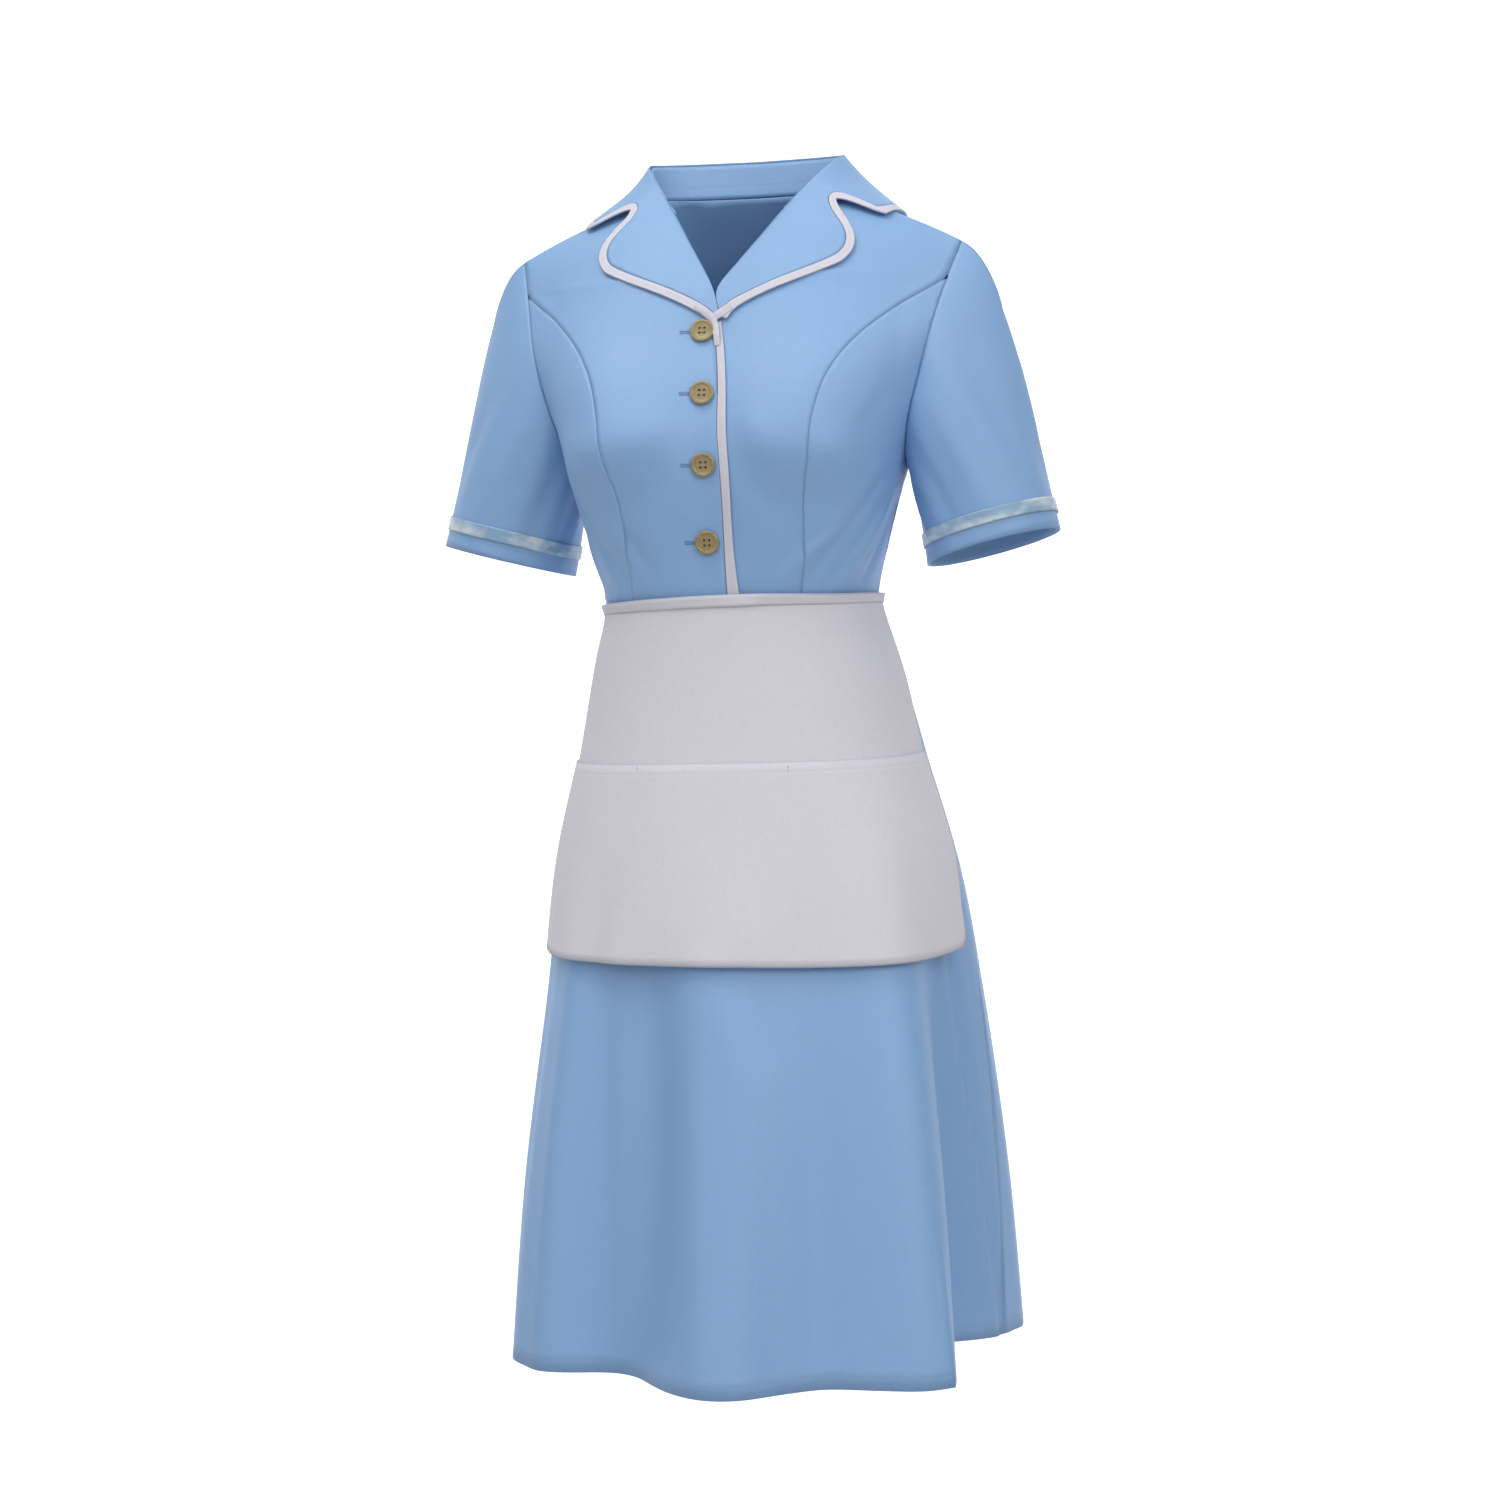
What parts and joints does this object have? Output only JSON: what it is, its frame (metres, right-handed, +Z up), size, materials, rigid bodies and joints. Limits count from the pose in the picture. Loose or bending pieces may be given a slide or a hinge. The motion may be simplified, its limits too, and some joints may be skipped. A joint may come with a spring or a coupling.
{
  "type": "waitress dress with half apron",
  "caption": "Knee-length button-front uniform dress with notched collar, short ribbon-trimmed sleeves and flared skirt, worn with a white half apron with a pocket",
  "frame": {"origin": "middle of the neck opening, level with the fold of the collar beside the neck, where the wearer's shoulders hold the dress", "axes": "+Z up from hem to neck, the front faces -Y, the wearer's left is +X"},
  "size_m": [0.5312, 0.406, 1.0075],
  "materials": {
    "blue_twill": "matt light blue twill with a faint sheen",
    "white_twill": "matt white twill",
    "white_binding": "flat white woven binding",
    "blue_satin": "grey-blue satin ribbon",
    "khaki_button": "khaki, softly polished"
  },
  "bodies": {
    "root": {"back": "blue_twill", "collar": "blue_twill", "collar_stand": "blue_twill", "front_centre_left": "blue_twill", "front_centre_right": "blue_twill", "front_side_left": "blue_twill", "front_side_right": "blue_twill", "skirt_back": "blue_twill", "skirt_front": "blue_twill", "sleeve_left": "blue_twill", "sleeve_right": "blue_twill", "apron_knot": "white_twill", "apron_panel": "white_twill", "apron_pocket": "white_twill", "apron_tail_left": "white_twill", "apron_tail_right": "white_twill", "apron_tie_left": "white_twill", "apron_tie_right": "white_twill", "apron_waistband": "white_twill", "collar_binding": "white_binding", "front_binding": "white_binding", "sleeve_ribbon_left": "blue_satin", "sleeve_ribbon_right": "blue_satin", "button_1": "khaki_button", "button_2": "khaki_button", "button_3": "khaki_button", "button_4": "khaki_button"}
  },
  "joints": []
}
